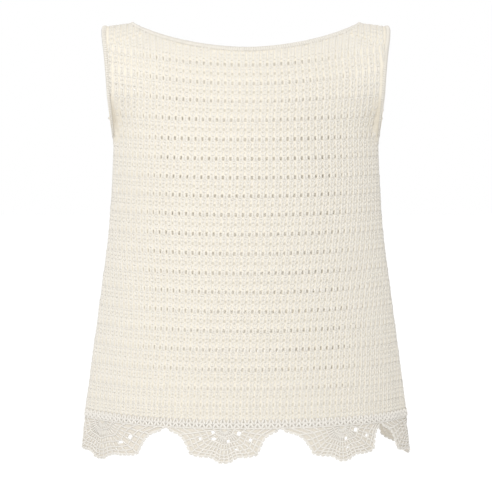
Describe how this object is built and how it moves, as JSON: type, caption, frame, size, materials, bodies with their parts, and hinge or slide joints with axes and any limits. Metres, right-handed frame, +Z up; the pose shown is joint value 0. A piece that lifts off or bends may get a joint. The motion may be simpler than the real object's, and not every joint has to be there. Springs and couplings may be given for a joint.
{
  "type": "sleeveless knitted top with a lace hem",
  "caption": "Sleeveless openwork knit top for the upper body, filled out as worn, with a wide boat neck, round armholes, a flared body and a scalloped lace hem.",
  "frame": {"origin": "mount shoulders, between the tops of the two shoulder ridges, where the wearer's shoulders hold the top up", "axes": "+Z up, -Y towards the front of the wearer, +X towards the wearer's left"},
  "size_m": [0.4155, 0.2422, 0.5461],
  "materials": {
    "cream_knit": "matte openwork cotton knit with rows of small upright holes",
    "cream_edging": "matte close-worked cotton edging",
    "cream_lace": "matte cotton lace of open fans with small picots"
  },
  "bodies": {
    "root": {"front_panel": "cream_knit", "back_panel": "cream_knit", "neck_edging": "cream_edging", "armhole_edging_left": "cream_edging", "armhole_edging_right": "cream_edging", "hem_lace_front": "cream_lace", "hem_lace_back": "cream_lace"}
  },
  "joints": []
}
